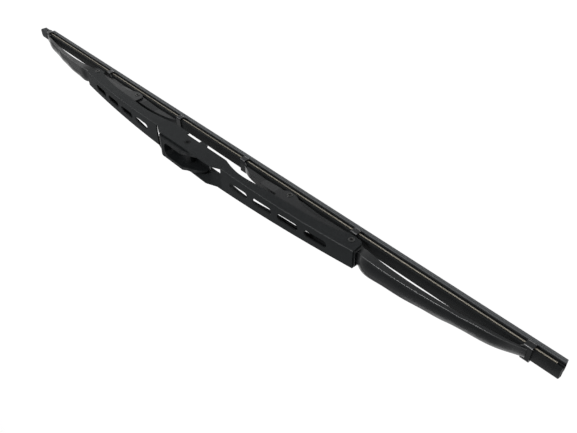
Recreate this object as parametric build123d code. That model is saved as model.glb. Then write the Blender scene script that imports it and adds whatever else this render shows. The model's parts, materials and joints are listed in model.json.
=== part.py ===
"""Bracket wiper blade for a hooked arm, 500 mm long.

X runs along the blade, Y across it and Z away from the glass, in millimetres.
The origin is the middle of the pin that the arm hooks over.
Heights in the source are counted from the mid plane of the two steel rails.
"""
from math import sqrt
import os

from build123d import *

# Whole blade
BLADE_LENGTH = 500.0
PIN_HEIGHT = 18.7
RUN_FIT = 0.06
SEAT_FIT = 0.02
SLIDE_GAP = 0.3

# Pivots
P1_X = 133.9
P1_H = 8.95
P2_X = 82.2
P2_H = 5.45
RIVET_R = 1.5
RIVET_HEAD_R = 1.8
RIVET_HEAD_T = 0.4
RIVET_BORE_R = 0.75
PIN_R = 2.38
PIN_DIMPLE_R = 1.3
PIN_DIMPLE_DEPTH = 0.8

# Main bridge, a pressed steel channel with a window in the middle
BRIDGE_SHEET = 1.0
LOBE_REACH = 6.5
BRIDGE_HALF = P1_X + LOBE_REACH
BRIDGE_TOP = 21.35
ARCH_START = 30.0
ARCH_RADIUS = 960.0
BRIDGE_HALF_W_MID = 8.6
BRIDGE_HALF_W_QUARTER = 7.2
BRIDGE_HALF_W_END = 6.25
QUARTER_X = 84.0
CENTRE_WALL = 32.0
WINDOW_RIGHT = 33.0
WINDOW_LEFT = 37.2
FOLD_RADIUS = 0.9
EAR_TOP_HIGH = 25.0
EAR_TOP_LOW = 24.1
EAR_BACK_DROP = 1.1
EAR_STEEP_X = 23.8
EAR_GENTLE_RUN = 6.4
TAB_FOOT = 11.3
TAB_INNER = 5.5
TAB_SHORT = 11.5
TAB_LONG_INNER = 8.6
TAB_LONG = 25.0
CENTRE_EDGE = 13.3
NOTCH_EDGE = 13.4
SLOT_FIRST = 53.6
SLOT_PITCH = 20.55
SLOT_LENGTH = 16.0
SLOT_WIDTH = 4.5
SLOT_COUNT = 4

# Plastic pivot liners between the bridge and the outer yokes
LINER_T = 0.5
LINER_GAP = 0.05
LINER_HALF_W = BRIDGE_HALF_W_END - BRIDGE_SHEET - LINER_GAP
LINER_REACH = 5.3
LINER_PROUD = 0.8

# Outer yokes
YOKE_SHEET = 0.9
YOKE_TOP_INSIDE = 12.4
YOKE_NECK_HALF_W = LINER_HALF_W - LINER_T - SLIDE_GAP
YOKE_NECK_FOOT = 7.2
LUG_HALF_W = 5.05
LUG_REACH = 6.4
LUG_DROP = 2.45
FLARE_START = BRIDGE_HALF + LINER_PROUD + 0.4
YOKE_FOLD_R = 0.5

# Claw yokes
CLAW_SHEET = 0.8
CLAW_YOKE_HALF_W = LUG_HALF_W - YOKE_SHEET - SLIDE_GAP
CLAW_ARM_HALF_W = 2.2
CLAW_YOKE_TOP = 9.6
CLAW_REACH = 47.2

# Refill: rubber with a rail along each side
RAIL_W = 2.4
RAIL_T = 0.7
RAIL_OUTER_Y = 4.06
RAIL_END_LEFT = 247.0
REFILL_END_LEFT = 250.3
REFILL_SLANT = 1.5
HEAD_TOP = 1.65
HEAD_HALF_W = 3.45
FLANGE_HALF_W = 3.6
FLANGE_FOOT = 0.95
NECK_HALF_W = 0.75
HEEL_TOP = 3.0
HEEL_FOOT = 4.7
HEEL_HALF_W = 2.2
LIP_FOOT = 8.1
LIP_HALF_W = 0.4
LIP_CUT = 5.4
STOP_LENGTH = 10.5
STOP_HALF_W = 3.6
STOP_TOP = 1.9
STOP_FOOT = 3.0
REFILL_END_RIGHT = BLADE_LENGTH - REFILL_END_LEFT

# Claws that grip the refill
CLAW_WIDTH = 4.4
CLAW_OUTER_X = 234.1
CLAW_T = 0.7
CLAW_SIDE_GAP = 0.2
CLAW_TOP_GAP = 0.2
CLAW_HALF_W = RAIL_OUTER_Y + CLAW_SIDE_GAP + CLAW_T
CLAW_TOP = HEAD_TOP + CLAW_TOP_GAP + CLAW_T
CLAW_JAW_T = 0.65
CLAW_JAW_TIP = 2.2
CLAW_BEND_R = 1.2

# Arm adapter, its heights counted from the pin
ADAPTER_GAP = 0.4
ADAPTER_HALF_W = BRIDGE_HALF_W_MID - BRIDGE_SHEET - ADAPTER_GAP
ADAPTER_FOOT = 4.4
ADAPTER_RIM = 8.5
ADAPTER_NOSE = 26.0
ADAPTER_REAR = 18.6
POCKET_HALF_W = 4.9
POCKET_DEPTH = 2.7
POCKET_FRONT = 16.0
BARREL_R = 4.1


def side(x, h, y=0.0):
    return (x, y, h - PIN_HEIGHT)


def prism_y(edges, half):
    return extrude(make_face(edges), amount=half, dir=(0, 1, 0), both=True)


def prism_z(edges):
    return extrude(make_face(edges), amount=60, dir=(0, 0, 1), both=True)


def poly(*points):
    return [Line(a, b) for a, b in zip(points, points[1:])]


def rod_y(x, h, radius, y0, y1):
    spot = Plane(origin=side(x, h, y0), x_dir=(1, 0, 0), z_dir=(0, 1, 0))
    return extrude(spot * Circle(radius), amount=y1 - y0, dir=(0, 1, 0))


def arch(x, drop=0.0):
    radius = ARCH_RADIUS - drop
    return BRIDGE_TOP - drop - radius + sqrt(radius**2 - (x - ARCH_START)**2)


def arch_block(x0, x1, drop, foot, half):
    mid = (x0 + x1) / 2
    top = ThreePointArc(side(x0, arch(x0, drop)), side(mid, arch(mid, drop)), side(x1, arch(x1, drop)))
    rest = poly(side(x1, arch(x1, drop)), side(x1, foot), side(x0, foot), side(x0, arch(x0, drop)))
    return prism_y([top] + rest, half)


def bridge_plan(inset, x1):
    a = (CENTRE_WALL, BRIDGE_HALF_W_MID - inset)
    b = (QUARTER_X, BRIDGE_HALF_W_QUARTER - inset)
    c = (BRIDGE_HALF, BRIDGE_HALF_W_END - inset)
    near = ThreePointArc((a[0], -a[1]), (b[0], -b[1]), (c[0], -c[1]))
    far = ThreePointArc(a, b, c)
    tip = poly((c[0], -c[1]), (x1, -c[1]), (x1, c[1]), c) if x1 > c[0] else [Line((c[0], -c[1]), c)]
    return prism_z([near] + tip + [far, Line(a, (a[0], -a[1]))])


def wall_foot(long_tab):
    # Everything above the lower edge of one wall, from the middle of the blade to the end of its lobe
    if long_tab:
        tab = [(0, NOTCH_EDGE), (TAB_LONG_INNER, NOTCH_EDGE), (TAB_LONG_INNER, TAB_FOOT), (TAB_LONG, TAB_FOOT)]
        sweep = [(TAB_LONG, TAB_FOOT), (34.0, 12.9), (45.0, 14.2), (58.0, 14.7), (76.0, 13.3)]
    else:
        tab = [(0, NOTCH_EDGE), (TAB_INNER, NOTCH_EDGE), (TAB_INNER, TAB_FOOT), (TAB_SHORT, TAB_FOOT),
               (TAB_SHORT + 2.0, CENTRE_EDGE), (33.5, CENTRE_EDGE)]
        sweep = [(33.5, CENTRE_EDGE), (41.0, 15.2), (50.0, 16.2), (58.0, 15.7), (76.0, 13.8)]
    lobe = (P1_X - 6.3, P1_H - 1.55)
    sweep += [(96.0, 12.4), (112.0, 10.7), lobe]
    corner = (P1_X - 4.9, P1_H - 3.45)
    toe = (P1_X + 3.0, P1_H - 3.35)
    knee = (P1_X + 5.2, P1_H - 2.45)
    heel = (P1_X + 6.0, P1_H - 0.35)
    edges = poly(*[side(x, h) for x, h in tab])
    edges.append(Spline(*[side(x, h) for x, h in sweep]))
    edges += poly(side(*lobe), side(*corner), side(*toe))
    edges.append(ThreePointArc(side(*toe), side(*knee), side(*heel)))
    edges += poly(side(*heel), side(BRIDGE_HALF, 14.0), side(BRIDGE_HALF, 40), side(0, 40), side(0, NOTCH_EDGE))
    return prism_y(edges, 20)


def wall_ear(steep, drop, window_end):
    # The raised middle of one wall, beside the window
    crest = (EAR_TOP_HIGH + EAR_TOP_LOW) / 2 - drop
    if steep:
        top = (EAR_STEEP_X, EAR_TOP_HIGH - drop)
        foot = (CENTRE_WALL + 0.2, BRIDGE_TOP - 0.6)
    else:
        top = (window_end - EAR_GENTLE_RUN, EAR_TOP_LOW - drop)
        foot = (window_end + 1.2, BRIDGE_TOP - 0.6)
    return prism_y(poly(side(0, 0), side(0, crest), side(*top), side(*foot), side(foot[0], 0), side(0, 0)), 20)


def make_bridge_half(near_drop, far_drop, window_end):
    loaf = arch_block(CENTRE_WALL, BRIDGE_HALF, 0, 2, 20) & bridge_plan(0, BRIDGE_HALF)
    crest = loaf.faces().sort_by(Axis.Z)[-1]
    loaf = fillet(crest.edges().sort_by(SortBy.LENGTH)[-2:], FOLD_RADIUS)
    hollow = arch_block(CENTRE_WALL - 1, BRIDGE_HALF + 3, BRIDGE_SHEET, 1, 20)
    half = loaf - (hollow & bridge_plan(BRIDGE_SHEET, BRIDGE_HALF + 2))
    tall = 60
    middle = Pos(CENTRE_WALL / 2, 0, 0) * Box(CENTRE_WALL, 2 * BRIDGE_HALF_W_MID, tall)
    ring = Pos(CENTRE_WALL + 5, 0, 0) * Box(10, 2 * BRIDGE_HALF_W_MID, tall) & bridge_plan(0, BRIDGE_HALF)
    hole = Pos(CENTRE_WALL / 2, 0, 0) * Box(CENTRE_WALL, 2 * (BRIDGE_HALF_W_MID - BRIDGE_SHEET), tall + 2)
    walls = middle + ring - hole - bridge_plan(BRIDGE_SHEET, BRIDGE_HALF + 2)
    near_side = Pos(0, -20, 0) * Box(600, 40, 100)
    far_side = Pos(0, 20, 0) * Box(600, 40, 100)
    near_ear = walls & wall_ear(True, near_drop, window_end) & near_side
    far_ear = walls & wall_ear(False, far_drop, window_end) & far_side
    full = half + near_ear + far_ear
    full = (full & wall_foot(True) & near_side) + (full & wall_foot(False) & far_side)
    for n in range(SLOT_COUNT):
        slot = Pos(SLOT_FIRST + n * SLOT_PITCH, 0, 0) * SlotOverall(SLOT_LENGTH, SLOT_WIDTH)
        full = full - extrude(slot, amount=30, both=True)
    return full - rod_y(P1_X, P1_H, RIVET_R + SEAT_FIT, -20, 20)


def make_bridge():
    bridge = make_bridge_half(0, EAR_BACK_DROP, WINDOW_RIGHT)
    bridge = bridge + make_bridge_half(EAR_BACK_DROP, 0, WINDOW_LEFT).rotate(Axis.Z, 180)
    middle = (WINDOW_RIGHT - WINDOW_LEFT) / 2
    inside = 2 * (BRIDGE_HALF_W_MID - BRIDGE_SHEET)
    window = Pos(middle, 0, 0) * Box(WINDOW_RIGHT + WINDOW_LEFT, inside, 30)
    return bridge - window - rod_y(0, PIN_HEIGHT, PIN_R + SEAT_FIT, -20, 20)


def make_pin():
    end = BRIDGE_HALF_W_MID
    pin = rod_y(0, PIN_HEIGHT, PIN_R, -end, end)
    for sign in (-1, 1):
        spot = Plane(origin=(0, sign * end, 0), x_dir=(1, 0, 0), z_dir=(0, sign, 0))
        pit = spot * Pos(0, 0, -PIN_DIMPLE_DEPTH / 2) * Cone(0.4, PIN_DIMPLE_R, PIN_DIMPLE_DEPTH)
        pin = pin - pit
    return pin


def make_rivet(x, h, grip, radius):
    rivet = rod_y(x, h, radius, -grip, grip)
    for sign in (-1, 1):
        y0 = sign * (grip + SEAT_FIT)
        y1 = y0 + sign * RIVET_HEAD_T
        head = rod_y(x, h, RIVET_HEAD_R, min(y0, y1), max(y0, y1))
        head = fillet(head.edges().sort_by(Axis.Y)[-1 if sign > 0 else 0], 0.7 * RIVET_HEAD_T)
        rivet = rivet + head + rod_y(x, h, radius, min(sign * grip, y0), max(sign * grip, y0))
    return rivet - rod_y(x, h, RIVET_BORE_R, -20, 20)


def make_liner():
    inner = P1_X - LINER_REACH
    tip = BRIDGE_HALF + LINER_PROUD
    drop = BRIDGE_SHEET + SEAT_FIT
    skin = arch_block(inner, tip, drop, 2, LINER_HALF_W)
    core = arch_block(inner - 2, tip + 2, drop + LINER_T, 1, LINER_HALF_W - LINER_T)
    foot = P1_H - 2.85
    low = [
        Line(side(inner, 40), side(inner, P1_H - 0.35)),
        ThreePointArc(side(inner, P1_H - 0.35), side(P1_X - 3.9, P1_H - 2.25), side(P1_X - 1.7, foot)),
        Line(side(P1_X - 1.7, foot), side(P1_X + 2.5, foot)),
        ThreePointArc(side(P1_X + 2.5, foot), side(P1_X + 5.5, P1_H - 1.85), side(tip, P1_H + 0.65)),
        Line(side(tip, P1_H + 0.65), side(tip, 40)),
        Line(side(tip, 40), side(inner, 40)),
    ]
    liner = (skin - core) & prism_y(low, 20)
    return liner - rod_y(P1_X, P1_H, RIVET_R + SEAT_FIT, -20, 20)


def claw(x):
    out = CLAW_HALF_W
    inn = CLAW_HALF_W - CLAW_T
    top = CLAW_TOP - CLAW_T
    jaw = -FLANGE_FOOT - CLAW_TOP_GAP
    foot = jaw - CLAW_JAW_T
    x0 = x - CLAW_WIDTH / 2
    ring = [
        (-CLAW_JAW_TIP, foot), (-out, foot), (-out, CLAW_TOP), (out, CLAW_TOP), (out, foot),
        (CLAW_JAW_TIP, foot), (CLAW_JAW_TIP, jaw), (inn, jaw), (inn, top), (-inn, top),
        (-inn, jaw), (-CLAW_JAW_TIP, jaw), (-CLAW_JAW_TIP, foot)]
    face = make_face(poly(*[side(x0, h, y) for y, h in ring]))
    body = extrude(face, amount=CLAW_WIDTH, dir=(1, 0, 0))
    bends = [e for e in body.edges().filter_by(Axis.X) if abs(abs(e.center().Y) - out) < 0.01]
    return fillet(bends, CLAW_BEND_R)


def claw_tongue(x, sign, arm):
    # The flat strip that joins a yoke's arm to the top of its claw
    shoulder = CLAW_HALF_W - CLAW_BEND_R
    x0 = x - sign * (CLAW_WIDTH / 2 + 1.6)
    x1 = x - sign * (CLAW_WIDTH / 2 - 0.2)
    x2 = x + sign * CLAW_WIDTH / 2
    plan = prism_z(poly((x0, -arm), (x1, -shoulder), (x2, -shoulder), (x2, shoulder), (x1, shoulder), (x0, arm),
                        (x0, -arm)))
    return plan & Pos(side(x, CLAW_TOP - CLAW_T / 2)) * Box(40, 20, CLAW_T)


def yoke_ring(x, w, crest, foot, inset):
    half = w - inset
    top = crest - inset
    sag = 0.03 * w * w
    r = YOKE_FOLD_R
    fold = top - sag
    low = foot - (1.5 if inset else 0)
    a = side(x, low, -half)
    b = side(x, fold - r, -half)
    c = side(x, fold + 0.12 * r, -half + r)
    d = side(x, fold + 0.12 * r, half - r)
    e = side(x, fold - r, half)
    f = side(x, low, half)
    knee = 0.29 * r
    return make_face([
        Line(a, b),
        ThreePointArc(b, side(x, fold - knee, -half + knee), c),
        ThreePointArc(c, side(x, top), d),
        ThreePointArc(d, side(x, fold - knee, half - knee), e),
        Line(e, f),
        Line(f, a)])


def yoke_stations():
    # Share of the way from the flare to the claw, half width, crest and lower edge
    rows = [
        (0.0, YOKE_NECK_HALF_W, YOKE_TOP_INSIDE, YOKE_NECK_FOOT), (0.032, 5.1, 13.9, 7.8), (0.076, 5.7, 14.85, 8.8),
        (0.156, 5.5, 14.75, 9.45), (0.264, 5.15, 14.3, 9.65), (0.383, 4.9, 13.45, 9.5), (0.502, 4.5, 12.2, 8.75),
        (0.62, 4.1, 10.6, 7.9), (0.707, 3.95, 9.45, 7.1), (0.783, 4.0, 8.6, 6.2), (0.848, 3.8, 7.6, 5.2),
        (0.896, 3.45, 6.4, 4.3), (0.945, 3.0, 4.8, 3.0), (0.984, 2.85, 3.4, CLAW_TOP - CLAW_T),
        (1.0, 2.8, 2.95, CLAW_TOP - CLAW_T)]
    span = CLAW_OUTER_X - FLARE_START
    return [(FLARE_START + t * span, w, crest, foot) for t, w, crest, foot in rows]


def make_outer_yoke():
    neck = YOKE_NECK_HALF_W
    lug = LUG_HALF_W
    sheet = YOKE_SHEET
    x_lug = P2_X - LUG_REACH
    x_wide = P2_X + 12.8
    x_neck = P1_X - 12.9

    def plan(inset, x0, x1):
        n = neck - inset
        m = lug - inset
        return prism_z(poly((x0, -m), (x_wide, -m), (x_neck, -n), (x1, -n), (x1, n), (x_neck, n), (x_wide, m), (x0, m),
                            (x0, -m)))

    tail = FLARE_START
    chin = P2_H - LUG_DROP
    belly = P1_H - 2.65
    low = [
        Line(side(x_lug, YOKE_TOP_INSIDE), side(x_lug, P2_H + 1.95)),
        ThreePointArc(side(x_lug, P2_H + 1.95), side(P2_X - 5.0, P2_H - 1.15), side(P2_X - 2.0, chin)),
        Line(side(P2_X - 2.0, chin), side(P2_X + 2.4, chin)),
        ThreePointArc(side(P2_X + 2.4, chin), side(P2_X + 6.0, P2_H - 1.25), side(P2_X + 9.2, P2_H + 0.55)),
        Spline(side(P2_X + 9.2, P2_H + 0.55), side(P2_X + 16.8, P2_H + 1.55), side(P2_X + 25.8, P2_H + 1.55),
               side(P1_X - 13.9, belly)),
        Line(side(P1_X - 13.9, belly), side(P1_X + 3.7, belly)),
        ThreePointArc(side(P1_X + 3.7, belly), side(P1_X + 6.0, belly + 0.25), side(tail, YOKE_NECK_FOOT)),
        Line(side(tail, YOKE_NECK_FOOT), side(tail, YOKE_TOP_INSIDE)),
        Line(side(tail, YOKE_TOP_INSIDE), side(x_lug, YOKE_TOP_INSIDE)),
    ]
    arm = prism_y(low, 20) & plan(0, x_lug - 1, tail + 1)
    core = poly(side(x_lug - 2, YOKE_TOP_INSIDE - sheet), side(tail + 2, YOKE_TOP_INSIDE - sheet),
                side(tail + 2, 0), side(x_lug - 2, 0), side(x_lug - 2, YOKE_TOP_INSIDE - sheet))
    arm = arm - (prism_y(core, 20) & plan(sheet, x_lug - 3, tail + 3))
    rows = yoke_stations()
    shell = loft([yoke_ring(x, w, crest, foot, 0) for x, w, crest, foot in rows])
    hollow = loft([yoke_ring(x, w, crest, foot, sheet) for x, w, crest, foot in rows[:-2]])
    tongue = claw_tongue(CLAW_OUTER_X, 1, rows[-1][1])
    yoke = arm + (shell - hollow) + tongue + claw(CLAW_OUTER_X)
    yoke = yoke - rod_y(P1_X, P1_H, RIVET_R + RUN_FIT, -20, 20)
    return yoke - rod_y(P2_X, P2_H, RIVET_R + SEAT_FIT, -20, 20)


def make_claw_yoke():
    w = CLAW_YOKE_HALF_W
    arm = CLAW_ARM_HALF_W
    sheet = CLAW_SHEET

    def top_line(drop):
        return [
            (CLAW_REACH - 2.4, CLAW_TOP - drop), (CLAW_REACH - 6.0, 4.2 - drop), (CLAW_REACH - 11.0, 5.7 - drop),
            (CLAW_REACH - 17.0, 6.7 - drop), (CLAW_REACH - 23.0, 7.4 - drop)]

    def outline(drop, foot):
        pts = top_line(drop)
        peak = CLAW_YOKE_TOP - drop
        right = Spline(*[side(P2_X + r, h) for r, h in pts])
        left = Spline(*[side(P2_X - r, h) for r, h in reversed(pts)])
        r0 = pts[-1][0]
        h0 = pts[-1][1]
        crown = ThreePointArc(side(P2_X + r0, h0), side(P2_X, peak), side(P2_X - r0, h0))
        r1 = pts[0][0]
        h1 = pts[0][1]
        return [right, crown, left, Line(side(P2_X - r1, h1), side(P2_X - r1, foot))], r1, h1

    def plan(inset, reach):
        a = arm - inset
        b = w - inset
        return prism_z(poly(
            (P2_X - reach, -a), (P2_X - 24, -a), (P2_X - 10, -b), (P2_X + 10, -b), (P2_X + 24, -a),
            (P2_X + reach, -a), (P2_X + reach, a), (P2_X + 24, a), (P2_X + 10, b), (P2_X - 10, b),
            (P2_X - 24, a), (P2_X - reach, a), (P2_X - reach, -a)))

    foot = CLAW_TOP - CLAW_T
    chin = P2_H - 2.25
    edges, r1, h1 = outline(0, foot)
    edges += [
        Line(side(P2_X - r1, foot), side(P2_X - 7, chin + 0.5)),
        ThreePointArc(side(P2_X - 7, chin + 0.5), side(P2_X, chin), side(P2_X + 7, chin + 0.5)),
        Line(side(P2_X + 7, chin + 0.5), side(P2_X + r1, foot)),
        Line(side(P2_X + r1, foot), side(P2_X + r1, h1)),
    ]
    shell = prism_y(edges, 20) & plan(0, CLAW_REACH)
    inner, r2, h2 = outline(sheet, 0)
    inner += [Line(side(P2_X - r2, 0), side(P2_X + r2, 0)), Line(side(P2_X + r2, 0), side(P2_X + r2, h2))]
    yoke = shell - (prism_y(inner, 20) & plan(sheet, CLAW_REACH))
    for sign in (-1, 1):
        x = P2_X + sign * CLAW_REACH
        yoke = yoke + claw_tongue(x, sign, arm) + claw(x)
    return yoke - rod_y(P2_X, P2_H, RIVET_R + RUN_FIT, -20, 20)


def refill_half(sign):
    slot = RAIL_T / 2 + SEAT_FIT
    root = RAIL_OUTER_Y - RAIL_W - SEAT_FIT
    return [(sign * y, h) for y, h in (
        (HEAD_HALF_W - 0.3, HEAD_TOP), (HEAD_HALF_W, HEAD_TOP - 0.3), (HEAD_HALF_W, slot), (root, slot), (root, -slot),
        (FLANGE_HALF_W, -slot), (FLANGE_HALF_W, -FLANGE_FOOT), (NECK_HALF_W, -FLANGE_FOOT - 0.25),
        (NECK_HALF_W, -HEEL_TOP), (HEEL_HALF_W, -HEEL_TOP - 0.6), (HEEL_HALF_W, -HEEL_FOOT),
        (LIP_HALF_W + 0.2, -HEEL_FOOT - 0.9), (LIP_HALF_W, -LIP_FOOT))]


def make_rubber():
    x0 = -REFILL_END_LEFT
    x1 = REFILL_END_RIGHT
    right = refill_half(1)
    left = refill_half(-1)
    ring = left[::-1] + right + [left[-1]]
    face = make_face(poly(*[side(x0, h, y) for y, h in ring]))
    rubber = extrude(face, amount=BLADE_LENGTH, dir=(1, 0, 0))
    kept = poly(side(x0, HEAD_TOP), side(x0 + REFILL_SLANT, -LIP_FOOT), side(x1 - LIP_CUT, -LIP_FOOT),
                side(x1 - LIP_CUT, -STOP_FOOT), side(x1, -STOP_FOOT), side(x1, HEAD_TOP), side(x0, HEAD_TOP))
    rubber = rubber & prism_y(kept, 20)
    stop = Box(STOP_LENGTH, 2 * STOP_HALF_W, STOP_TOP + STOP_FOOT)
    stop = fillet(stop.edges().filter_by(Axis.Z).sort_by(Axis.X)[-2:], 2.0)
    stop = fillet(stop.faces().sort_by(Axis.Z)[-1].edges(), 0.6)
    return rubber + Pos(side(x1 - STOP_LENGTH / 2, (STOP_TOP - STOP_FOOT) / 2)) * stop


def make_rail():
    x1 = REFILL_END_RIGHT - STOP_LENGTH - SLIDE_GAP
    length = x1 + RAIL_END_LEFT
    y = RAIL_OUTER_Y - RAIL_W / 2
    rail = Box(length, RAIL_W, RAIL_T)
    rail = fillet(rail.edges().filter_by(Axis.Z), 0.6)
    return Pos(side(x1 - length / 2, 0, -y)) * rail


def make_adapter():
    half = ADAPTER_HALF_W
    foot = -ADAPTER_FOOT
    nose = ADAPTER_NOSE
    rear = -ADAPTER_REAR
    rim = ADAPTER_RIM
    outline = [
        Line((rear + 4.6, 0, foot), (nose - 8.0, 0, foot)),
        ThreePointArc((nose - 8.0, 0, foot), (nose - 1.7, 0, foot + 2.5), (nose, 0, foot + 6.2)),
        ThreePointArc((nose, 0, foot + 6.2), (nose - 2.2, 0, rim - 2.5), (nose - 9.0, 0, rim - 0.2)),
        Line((nose - 9.0, 0, rim - 0.2), (-2.5, 0, rim)),
        Spline((-2.5, 0, rim), (-5.4, 0, rim - 1.3), (-8.6, 0, rim - 2.6), tangents=((-1, 0, 0), (-1, 0, -0.25))),
        ThreePointArc((-8.6, 0, rim - 2.6), (-14.9, 0, rim - 5.9), (rear, 0, foot + 2.9)),
        ThreePointArc((rear, 0, foot + 2.9), (rear + 1.1, 0, foot + 0.8), (rear + 4.6, 0, foot)),
    ]
    body = prism_y(outline, half)
    shape = Pos((nose + rear) / 2, 0, 0) * RectangleRounded(nose - rear, 2 * half, 4.0)
    body = body & extrude(shape, amount=40, both=True)
    pocket = Rectangle(POCKET_FRONT - 2 * rear, 2 * POCKET_HALF_W)
    pocket = fillet(pocket.vertices().sort_by(Axis.X)[-2:], 3.6)
    spot = Pos((POCKET_FRONT + 2 * rear) / 2, 0, -POCKET_DEPTH)
    body = body - extrude(spot * pocket, amount=30)
    body = body - Pos(9.5, 0, -POCKET_DEPTH) * Box(7, 6, 10)
    body = body + rod_y(0, PIN_HEIGHT, BARREL_R, -POCKET_HALF_W - 0.5, POCKET_HALF_W + 0.5)
    return body - rod_y(0, PIN_HEIGHT, PIN_R + RUN_FIT, -20, 20)


yoke_right = make_outer_yoke()
claw_right = make_claw_yoke()
rivet_p1 = make_rivet(P1_X, P1_H, BRIDGE_HALF_W_END + 0.1, RIVET_R)
rivet_p2 = make_rivet(P2_X, P2_H, LUG_HALF_W, RIVET_R)
liner_right = make_liner()
rail_front = make_rail()

nodes = {
    "main_bridge": make_bridge(),
    "arm_pivot_pin": make_pin(),
    "arm_adapter": make_adapter(),
    "pivot_liner_right": liner_right,
    "pivot_liner_left": liner_right.mirror(Plane.YZ),
    "bridge_rivet_right": rivet_p1,
    "bridge_rivet_left": rivet_p1.mirror(Plane.YZ),
    "outer_yoke_right": yoke_right,
    "outer_yoke_left": yoke_right.mirror(Plane.YZ),
    "yoke_rivet_right": rivet_p2,
    "yoke_rivet_left": rivet_p2.mirror(Plane.YZ),
    "claw_yoke_right": claw_right,
    "claw_yoke_left": claw_right.mirror(Plane.YZ),
    "rubber_blade": make_rubber(),
    "rail_front": rail_front,
    "rail_back": rail_front.mirror(Plane.XZ),
}

os.makedirs("parts", exist_ok=True)
for name, solid in nodes.items():
    export_step(solid, "parts/" + name + ".step")
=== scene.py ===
import json
from math import radians

import bpy
import numpy as np
from mathutils import Matrix, Vector


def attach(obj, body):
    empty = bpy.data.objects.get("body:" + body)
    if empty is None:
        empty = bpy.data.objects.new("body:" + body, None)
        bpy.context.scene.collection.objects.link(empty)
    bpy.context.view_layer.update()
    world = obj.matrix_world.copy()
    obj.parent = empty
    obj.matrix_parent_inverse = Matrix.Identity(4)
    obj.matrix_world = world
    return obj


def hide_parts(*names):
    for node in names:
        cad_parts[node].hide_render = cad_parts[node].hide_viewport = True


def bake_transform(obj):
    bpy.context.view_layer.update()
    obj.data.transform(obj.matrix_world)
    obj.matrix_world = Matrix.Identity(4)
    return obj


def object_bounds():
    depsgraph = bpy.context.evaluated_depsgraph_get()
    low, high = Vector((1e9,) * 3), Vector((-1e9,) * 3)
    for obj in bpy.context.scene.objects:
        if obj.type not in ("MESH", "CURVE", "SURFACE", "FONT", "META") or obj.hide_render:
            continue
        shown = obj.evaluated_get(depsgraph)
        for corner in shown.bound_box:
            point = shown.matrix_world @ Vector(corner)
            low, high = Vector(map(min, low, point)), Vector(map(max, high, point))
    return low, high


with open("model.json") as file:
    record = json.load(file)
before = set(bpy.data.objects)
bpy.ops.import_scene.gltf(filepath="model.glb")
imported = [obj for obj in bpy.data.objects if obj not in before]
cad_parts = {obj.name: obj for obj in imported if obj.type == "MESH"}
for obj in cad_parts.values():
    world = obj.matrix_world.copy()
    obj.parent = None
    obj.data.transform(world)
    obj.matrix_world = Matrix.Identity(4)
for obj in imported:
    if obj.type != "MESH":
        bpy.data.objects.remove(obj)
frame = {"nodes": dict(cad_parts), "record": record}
cad_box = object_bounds()
scene = bpy.context.scene
MM = 0.001
WHITE = (1.0, 1.0, 1.0, 1.0)
# Height of the arm pin's axis, which is the origin, over the rails' mid plane, in mm
PIN_HEIGHT = 18.7


def add_object(name, data):
    added = bpy.data.objects.new(name, data)
    scene.collection.objects.link(added)
    return added


# Camera, solved from the blade's own points in the photograph (577 x 433 frame)
FOCAL_PX = 620.0
FRAME_W_PX = 577.0
SENSOR_MM = 36.0
CAM_AT = Vector((-0.2926875, -0.2230017, 0.1962332 - PIN_HEIGHT * MM))
CAM_RIGHT = Vector((-0.674159, 0.008017, -0.738543))
CAM_AHEAD = Vector((0.573612, 0.635597, -0.516707))
CLIP_NEAR = 0.01
CLIP_FAR = 20.0

cam_data = bpy.data.cameras.new("camera")
cam_data.sensor_fit = "HORIZONTAL"
cam_data.sensor_width = SENSOR_MM
cam_data.lens = SENSOR_MM * FOCAL_PX / FRAME_W_PX
cam_data.clip_start = CLIP_NEAR
cam_data.clip_end = CLIP_FAR
camera = add_object("camera", cam_data)
turn = Matrix((CAM_RIGHT, CAM_RIGHT.cross(CAM_AHEAD), -CAM_AHEAD)).transposed()
camera.matrix_world = Matrix.Translation(CAM_AT) @ turn.to_4x4()
scene.camera = camera
scene.view_settings.view_transform = "Standard"

# Materials: each varies its colour and gloss with noise and has a fine grain
NOISE_LOW = 0.3
NOISE_HIGH = 0.7
NOISE_ROUGH = 0.55
PATCH_DETAIL = 3.0
GRAIN_DETAIL = 2.0
FINE_GRAIN = 2600.0
GRAIN_DEPTH = 0.05 * MM
COAT_IOR = 1.6
COAT_ROUGH = 0.4
# Largest part of the normal along the piece's axes, on flats and on folds
FLAT_PART = 0.985
FOLD_PART = 0.87
# Lighter grey painted on the lip and heel: painted light, for the light they catch from the floor below
LIP_PAINTED_LIGHT = (0.086, 0.0905, 0.0945)
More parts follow.
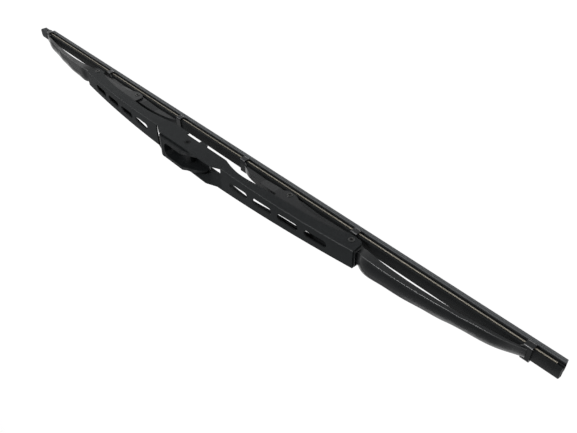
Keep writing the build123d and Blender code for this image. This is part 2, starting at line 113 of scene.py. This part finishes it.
# Sockets of the Mix node, whose names are the same for numbers and colours
MIX_SHARE = 0
NUMBER_A = 2
NUMBER_B = 3
NUMBER_OUT = 0
COLOUR_A = 6
COLOUR_B = 7
COLOUR_OUT = 2
FINISHES = {
    "bridge_paint": dict(
        dark=(0.0172, 0.0185, 0.0194), light=(0.0202, 0.0218, 0.0227), rough=(0.36, 0.44),
        specular=0.03, patch=60.0, bump=0.03, fold=0.34),
    "yoke_paint": dict(
        dark=(0.0112, 0.012, 0.0127), light=(0.014, 0.015, 0.0159), rough=(0.2, 0.26),
        specular=0.15, patch=60.0, bump=0.03, fold=1.0),
    # The pin's black paint, darker than the other paints as painted shade for the dimple in its end
    "pin_paint": dict(
        dark=(0.004, 0.0044, 0.0047), light=(0.007, 0.0076, 0.008), rough=(0.4, 0.5),
        specular=0.06, patch=200.0, bump=0.08),
    "rivet_steel": dict(
        dark=(0.015, 0.016, 0.0162), light=(0.03, 0.03, 0.029), rough=(0.3, 0.4),
        specular=0.15, patch=700.0, bump=0.08, fold=1.0),
    "adapter_plastic": dict(
        dark=(0.0085, 0.0095, 0.0102), light=(0.011, 0.0122, 0.013), rough=(0.4, 0.5),
        specular=0.1, patch=140.0, grain=2200.0, bump=0.15, fold=0.6),
    "liner_plastic": dict(
        dark=(0.011, 0.012, 0.0126), light=(0.0145, 0.0155, 0.0162), rough=(0.35, 0.45),
        specular=0.15, patch=200.0, grain=2200.0, bump=0.12, fold=1.0),
    "rubber": dict(
        dark=(0.009, 0.0096, 0.0102), light=(0.0126, 0.0136, 0.0142), rough=(0.5, 0.62),
        specular=0.08, patch=120.0, bump=0.05),
    "rail_steel": dict(
        dark=(0.2, 0.184, 0.152), light=(0.28, 0.258, 0.216), rough=(0.5, 0.6),
        specular=0.5, patch=160.0, grain=1200.0, bump=0.01, metallic=1.0, stretch=(0.06, 1, 1)),
}


class Net:
    # The nodes of a material or a world
    def __init__(self, tree):
        self.tree = tree

    def node(self, kind, **values):
        made = self.tree.nodes.new(kind)
        for key, value in values.items():
            setattr(made, key, value)
        return made

    def link(self, source, target):
        self.tree.links.new(source, target)


def new_material(name):
    material = bpy.data.materials.new(name)
    material.use_nodes = True
    return material, Net(material.node_tree), material.node_tree.nodes["Principled BSDF"]


def largest(net, sockets):
    found = sockets[0]
    for socket in sockets[1:]:
        both = net.node("ShaderNodeMath", operation="MAXIMUM")
        net.link(found, both.inputs[0])
        net.link(socket, both.inputs[1])
        found = both.outputs[0]
    return found


def ranged(net, value, low, high):
    # The noise's middle range, spread over low to high
    spread = net.node("ShaderNodeMapRange")
    spread.inputs["From Min"].default_value = NOISE_LOW
    spread.inputs["From Max"].default_value = NOISE_HIGH
    spread.inputs["To Min"].default_value = low
    spread.inputs["To Max"].default_value = high
    net.link(value, spread.inputs["Value"])
    return spread.outputs["Result"]


def noise(net, coords, scale, detail):
    texture = net.node("ShaderNodeTexNoise")
    texture.inputs["Scale"].default_value = scale
    texture.inputs["Detail"].default_value = detail
    texture.inputs["Roughness"].default_value = NOISE_ROUGH
    net.link(coords, texture.inputs["Vector"])
    return texture.outputs["Fac"]


def two_tone(net, share, dark, light):
    mix = net.node("ShaderNodeMix", data_type="RGBA")
    mix.inputs[COLOUR_A].default_value = (*dark, 1.0)
    mix.inputs[COLOUR_B].default_value = (*light, 1.0)
    net.link(share, mix.inputs[MIX_SHARE])
    return mix.outputs[COLOUR_OUT]


def fold_mask(net):
    # 0 where the surface faces along one of the piece's axes, as flats do,
    # and 1 where it faces between them, as rolled edges do
    split = net.node("ShaderNodeSeparateXYZ")
    net.link(net.node("ShaderNodeTexCoord").outputs["Normal"], split.inputs[0])
    parts = []
    for axis in ("X", "Y", "Z"):
        part = net.node("ShaderNodeMath", operation="ABSOLUTE")
        net.link(split.outputs[axis], part.inputs[0])
        parts.append(part.outputs[0])
    edge = net.node("ShaderNodeMapRange", interpolation_type="SMOOTHSTEP")
    edge.inputs["From Min"].default_value = FLAT_PART
    edge.inputs["From Max"].default_value = FOLD_PART
    net.link(largest(net, parts), edge.inputs["Value"])
    return edge.outputs["Result"]


def coat_folds(net, shader, weight):
    # A glossier coat on the folds alone
    gloss = net.node("ShaderNodeMapRange")
    gloss.inputs["To Max"].default_value = weight
    net.link(fold_mask(net), gloss.inputs["Value"])
    net.link(gloss.outputs["Result"], shader.inputs["Coat Weight"])
    shader.inputs["Coat Roughness"].default_value = COAT_ROUGH
    shader.inputs["Coat IOR"].default_value = COAT_IOR


def coat(name, dark, light, rough, specular, patch, bump, grain=FINE_GRAIN, metallic=0.0, fold=None,
         stretch=(1, 1, 1)):
    # Patch and grain are the scales of the two noises, about that many spots to a metre
    material, net, shader = new_material(name)
    if fold is not None:
        coat_folds(net, shader, fold)
    mapping = net.node("ShaderNodeMapping")
    mapping.inputs["Scale"].default_value = stretch
    net.link(net.node("ShaderNodeTexCoord").outputs["Object"], mapping.inputs["Vector"])
    coords = mapping.outputs["Vector"]
    patches = ranged(net, noise(net, coords, patch, PATCH_DETAIL), 0.0, 1.0)
    grains = noise(net, coords, grain, GRAIN_DETAIL)
    net.link(two_tone(net, patches, dark, light), shader.inputs["Base Color"])
    net.link(ranged(net, grains, *rough), shader.inputs["Roughness"])
    shader.inputs["Metallic"].default_value = metallic
    shader.inputs["Specular IOR Level"].default_value = specular
    relief = net.node("ShaderNodeBump")
    relief.inputs["Strength"].default_value = bump
    relief.inputs["Distance"].default_value = GRAIN_DEPTH
    net.link(grains, relief.inputs["Height"])
    net.link(relief.outputs["Normal"], shader.inputs["Normal"])
    return material


def paint_lip_light(material):
    # The wiping lip and heel are painted a lighter grey than the head, by the share in the lip
    # attribute: painted light for the floor's light on them
    net = Net(material.node_tree)
    shader = material.node_tree.nodes["Principled BSDF"]
    head = shader.inputs["Base Color"].links[0].from_socket
    lip = net.node("ShaderNodeAttribute", attribute_name="lip")
    painted_light = net.node("ShaderNodeMix", data_type="RGBA")
    painted_light.inputs[COLOUR_B].default_value = (*LIP_PAINTED_LIGHT, 1.0)
    net.link(lip.outputs["Fac"], painted_light.inputs[MIX_SHARE])
    net.link(head, painted_light.inputs[COLOUR_A])
    net.link(painted_light.outputs[COLOUR_OUT], shader.inputs["Base Color"])


looks = {slot: coat(slot, **values) for slot, values in FINISHES.items()}
paint_lip_light(looks["rubber"])
slot_of = {part["node"]: part["material_slot"] for part in frame["record"]["subparts"]}


def dress(piece, slot):
    piece.data.materials.clear()
    piece.data.materials.append(looks[slot])


# Pressed edges of the CAD pieces, rolled over a little
ROLL_MM = {
    "bridge_paint": 0.14, "yoke_paint": 0.25, "adapter_plastic": 0.25, "liner_plastic": 0.1,
    "rivet_steel": 0.05, "pin_paint": 0.1}
ROLL_SEGMENTS = 2
ROLL_FROM = radians(38)
WELD_WITHIN = 1e-6


def roll_edges(piece, width):
    weld = piece.modifiers.new("weld", "WELD")
    weld.merge_threshold = WELD_WITHIN
    roll = piece.modifiers.new("roll", "BEVEL")
    roll.width = width
    roll.segments = ROLL_SEGMENTS
    roll.limit_method = "ANGLE"
    roll.angle_limit = ROLL_FROM
    even = piece.modifiers.new("even", "WEIGHTED_NORMAL")
    even.mode = "FACE_AREA"
    even.keep_sharp = True


for name, piece in frame["nodes"].items():
    slot = slot_of[name]
    dress(piece, slot)
    if slot in ROLL_MM:
        roll_edges(piece, ROLL_MM[slot] * MM)

# Refill, in mm: x along the blade, y across it, heights over the rails' mid plane
LEFT_END = -250.3
LIP_END = 244.3
RAIL_LEFT = -247.0
RAIL_RIGHT = 238.9
HEAD_TOP = 1.65
LIP_FOOT = -8.1
# Back half of the rubber's section from the top down: y, height, share of the lip's painted light grey
HALF_SECTION = [
    (0.0, HEAD_TOP, 0), (3.1, HEAD_TOP, 0), (3.33, 1.57, 0), (3.45, 1.35, 0), (3.45, 0.37, 0),
    (1.64, 0.37, 0), (1.64, -0.37, 0), (3.6, -0.37, 0), (3.6, -0.8, 0), (3.5, -0.95, 0),
    (0.75, -1.2, 0), (0.75, -3.0, 0), (2.05, -3.53, 0), (2.2, -3.68, 0.1), (2.2, -4.1, 1),
    (2.2, -4.7, 1), (1.0, -5.15, 1), (0.6, -5.6, 1), (0.4, LIP_FOOT, 1)]
# Upper half of the back rail's section, from its outer edge inwards: y, height
RAIL_UPPER = [(4.06, 0.0), (4.03, 0.14), (3.95, 0.26), (3.82, 0.33), (3.68, 0.35), (1.66, 0.35)]
# How far the near end is cut back, from the lip's foot up: height, depth
LEFT_CUT = [(LIP_FOOT, 1.5), (-3.0, 0.35), (-1.2, 0.15), (0.5, 0.15), (HEAD_TOP, 0.4)]
BEND_STEP = 3.0
STRAIGHT_STEP = 40.0
STRIP_SHARP = radians(32)
# Stretches of each side: name, inner x, outer x, body, and the body met at its inner x, where the
# stretch is left unattached and gets finer steps
SIDE_STRETCHES = [
    ("tip", 231.7, 252.0, "yoke", None),
    ("outer", 131.3, 231.7, "yoke", "claws"),
    ("claws", 32.2, 131.3, "claws", None),
    ("inner", 24.0, 32.2, "claws", "yoke"),
    ("middle", 0.0, 24.0, "yoke", "bridge"),
]


def at_mm(x, y, height):
    return (x * MM, y * MM, (height - PIN_HEIGHT) * MM)


def cut_back(height):
    heights, depths = zip(*LEFT_CUT)
    return float(np.interp(height, heights, depths))


def section_at(x, ring):
    points = []
    for y, height in ring:
        cut = cut_back(height) if x == LEFT_END else 0.0
        points.append(at_mm(x + cut, y, height))
    return points


def skin(rings, caps):
    # Points and faces of a tube through the rings, closed at its ends where caps says so
    size = len(rings[0])
    points = [point for ring in rings for point in ring]
    faces = []
    for k in range(len(rings) - 1):
        for i in range(size):
            j = (i + 1) % size
            faces.append((k * size + i, k * size + j, (k + 1) * size + j, (k + 1) * size + i))
    if caps[0]:
        faces.append(tuple(range(size - 1, -1, -1)))
    if caps[1]:
        faces.append(tuple(range(len(points) - size, len(points))))
    return points, faces


def add_tube(name, rings, caps, sharp, painted_light_shares):
    points, faces = skin(rings, caps)
    mesh = bpy.data.meshes.new(name)
    mesh.from_pydata(points, [], faces)
    mesh.update()
    mesh.shade_smooth()
    mesh.set_sharp_from_angle(angle=sharp)
    # Share of the lip's lighter grey at each point: painted light
    if painted_light_shares:
        shade = mesh.attributes.new("lip", "FLOAT", "POINT")
        for k, point in enumerate(shade.data):
            point.value = painted_light_shares[k % len(painted_light_shares)]
    return add_object(name, mesh)


def spaced(start, end, step):
    count = max(1, round((end - start) / step))
    return [start + (end - start) * k / count for k in range(count + 1)]


def add_strip(name, ring, low, high, limits, step, painted_light_shares):
    # One stretch of a strip that runs from limit to limit, closed where it reaches them
    start = max(low, limits[0])
    end = min(high, limits[1])
    rings = [section_at(x, ring) for x in spaced(start, end, step)]
    return add_tube(name, rings, (start == limits[0], end == limits[1]), STRIP_SHARP, painted_light_shares)


def on_side(body, side):
    return body if body == "bridge" else body + "_" + side


def place(piece, side, body, other):
    first = on_side(body, side)
    if other is None:
        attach(piece, first)
    else:
        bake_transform(piece)


front_half = [(-y, height, painted_light) for y, height, painted_light in reversed(HALF_SECTION[1:])]
rubber_ring = [(y, height) for y, height, painted_light in HALF_SECTION + front_half]
rubber_painted_light_shares = [painted_light for y, height, painted_light in HALF_SECTION + front_half]
back_rail_ring = RAIL_UPPER + [(y, -height) for y, height in reversed(RAIL_UPPER[1:])]
front_rail_ring = [(-y, height) for y, height in reversed(back_rail_ring)]
# Strips: name, node that it stands for, slot, section, ends, shares of the lip's painted light grey
STRIPS = [
    ("rubber", "rubber_blade", "rubber", rubber_ring, (LEFT_END, LIP_END), rubber_painted_light_shares),
    ("rail_front", "rail_front", "rail_steel", front_rail_ring, (RAIL_LEFT, RAIL_RIGHT), None),
    ("rail_back", "rail_back", "rail_steel", back_rail_ring, (RAIL_LEFT, RAIL_RIGHT), None),
]
for side, sign in (("right", 1), ("left", -1)):
    for label, near, far, body, other in SIDE_STRETCHES:
        outer = sign * far
        inner = sign * near
        low, high = sorted((outer, inner))
        step = BEND_STEP if other else STRAIGHT_STEP
        for strip, node, slot, ring, limits, painted_light_shares in STRIPS:
            piece = add_strip("_".join((strip, label, side)), ring, low, high, limits, step, painted_light_shares)
            dress(piece, slot)
            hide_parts(node)
            place(piece, side, body, other)

# Rubber stop at the far end, rounded in plan and along its top, in mm
STOP_X0 = 239.2
STOP_X1 = 249.7
STOP_HALF_W = 3.6
STOP_TOP = 1.9
STOP_FOOT = -3.0
STOP_R = 2.0
STOP_CHAMFER = 0.25
STOP_SHARP = radians(40)
# Share of the lip's lighter grey on the whole stop: painted light
STOP_PAINTED_LIGHT_SHARE = 0.35
# Share of a ring's inset that its corners' radius loses
R_LOSS = 0.5
# Points of a rounded corner, as distances from its square corner in radii
CORNER = [(1.0, 0.0), (0.62, 0.08), (0.29, 0.29), (0.08, 0.62), (0.0, 1.0)]
# Inset and height of each ring, from the chamfered foot to the rounded top
STOP_LEVELS = [
    (STOP_CHAMFER, STOP_FOOT), (0.0, STOP_FOOT + STOP_CHAMFER), (0.0, STOP_TOP - 0.6),
    (0.09, STOP_TOP - 0.28), (0.29, STOP_TOP - 0.08), (0.6, STOP_TOP)]


def stop_ring(inset, height):
    half_w = STOP_HALF_W - inset
    end = STOP_X1 - inset
    radius = STOP_R - inset * R_LOSS
    front = [(STOP_X0 + inset, -half_w)]
    for along, across in CORNER:
        front.append((end - along * radius, -half_w + across * radius))
    back = [(x, -y) for x, y in reversed(front)]
    return [at_mm(x, y, height) for x, y in front + back]


stop_rings = [stop_ring(inset, height) for inset, height in STOP_LEVELS]
stop = add_tube("rubber_stop", stop_rings, (True, True), STOP_SHARP, [STOP_PAINTED_LIGHT_SHARE])
dress(stop, "rubber")
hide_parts("rubber_blade")
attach(stop, "yoke_right")

# White studio: the floor is seen white, with only part of the blade's shadow,
# and bounces light as plain white
FLOOR_WHITE = 0.92
FLOOR_ROUGH = 0.95
FLOOR_GLOW = 1.06
GLOW_SHARE = 0.93
FLOOR_HALF = 6.0
# Low enough that the refill clears it at every pose
FLOOR_DROP = 0.008


def white_floor():
    material, net, shader = new_material("floor_white")
    shader.inputs["Base Color"].default_value = (FLOOR_WHITE, FLOOR_WHITE, FLOOR_WHITE, 1.0)
    shader.inputs["Roughness"].default_value = FLOOR_ROUGH
    shader.inputs["Specular IOR Level"].default_value = 0.0
    glow = net.node("ShaderNodeEmission")
    glow.inputs["Color"].default_value = WHITE
    glow.inputs["Strength"].default_value = FLOOR_GLOW
    path = net.node("ShaderNodeLightPath")
    rays = ("Is Camera Ray", "Is Glossy Ray", "Is Transmission Ray")
    share = net.node("ShaderNodeMath", operation="MULTIPLY")
    share.inputs[1].default_value = GLOW_SHARE
    net.link(largest(net, [path.outputs[ray] for ray in rays]), share.inputs[0])
    mix = net.node("ShaderNodeMixShader")
    net.link(share.outputs[0], mix.inputs[0])
    net.link(shader.outputs["BSDF"], mix.inputs[1])
    net.link(glow.outputs["Emission"], mix.inputs[2])
    net.link(mix.outputs["Shader"], material.node_tree.nodes["Material Output"].inputs["Surface"])
    return material


floor_z = cad_box[0].z - FLOOR_DROP
floor_signs = ((-1, -1), (1, -1), (1, 1), (-1, 1))
floor_points = [(x * FLOOR_HALF, y * FLOOR_HALF, floor_z) for x, y in floor_signs]
floor_mesh = bpy.data.meshes.new("floor")
floor_mesh.from_pydata(floor_points, [], [(0, 1, 2, 3)])
floor_mesh.materials.append(white_floor())
floor = add_object("floor", floor_mesh)

# Brightness of the sky by the height that a ray points to, 0 at the horizon and 1 overhead.
# Only the camera sees it plain white
SKY_LEVELS = [(0.0, 1.0), (0.2, 0.04), (0.36, 0.85), (0.54, 0.46), (0.74, 0.44), (0.9, 0.06), (1.0, 1.0)]


def studio_sky():
    world = bpy.data.worlds.new("studio")
    scene.world = world
    world.use_nodes = True
    net = Net(world.node_tree)
    split = net.node("ShaderNodeSeparateXYZ")
    net.link(net.node("ShaderNodeTexCoord").outputs["Generated"], split.inputs[0])
    rise = net.node("ShaderNodeValToRGB")
    rise.color_ramp.interpolation = "EASE"
    # A new ramp has its first and last mark already
    marks = rise.color_ramp.elements
    for height, level in SKY_LEVELS[1:-1]:
        marks.new(height)
    for mark, (height, level) in zip(marks, SKY_LEVELS):
        mark.color = (level, level, level, 1.0)
    net.link(split.outputs["Z"], rise.inputs["Fac"])
    pick = net.node("ShaderNodeMix", data_type="FLOAT")
    pick.inputs[NUMBER_B].default_value = 1.0
    net.link(net.node("ShaderNodeLightPath").outputs["Is Camera Ray"], pick.inputs[MIX_SHARE])
    net.link(rise.outputs["Color"], pick.inputs[NUMBER_A])
    background = world.node_tree.nodes["Background"]
    background.inputs["Color"].default_value = WHITE
    net.link(pick.outputs[NUMBER_OUT], background.inputs["Strength"])


def lamp(name, at, to, size, watts):
    light = bpy.data.lights.new(name, "AREA")
    light.shape = "RECTANGLE"
    light.size = size[0]
    light.size_y = size[1]
    light.energy = watts
    holder = add_object(name, light)
    holder.location = at
    holder.rotation_euler = (Vector(to) - Vector(at)).to_track_quat("-Z", "Y").to_euler()


studio_sky()
lamp("key", at=(1.05, -0.7, 0.85), to=(1.05, 0.0, 0.0), size=(2.3, 0.2), watts=6.5)
lamp("glint_yoke", at=(0.0, -0.73, 0.82), to=(-0.19, 0.0, 0.0), size=(0.16, 0.15), watts=3.0)
lamp("glint_rail", at=(0.15, -0.73, 0.82), to=(-0.19, 0.0, 0.0), size=(0.1, 0.15), watts=1.5)
lamp("rim", at=(-0.25, 1.6, 0.5), to=(-0.2, 0.0, 0.0), size=(1.0, 0.8), watts=7.0)
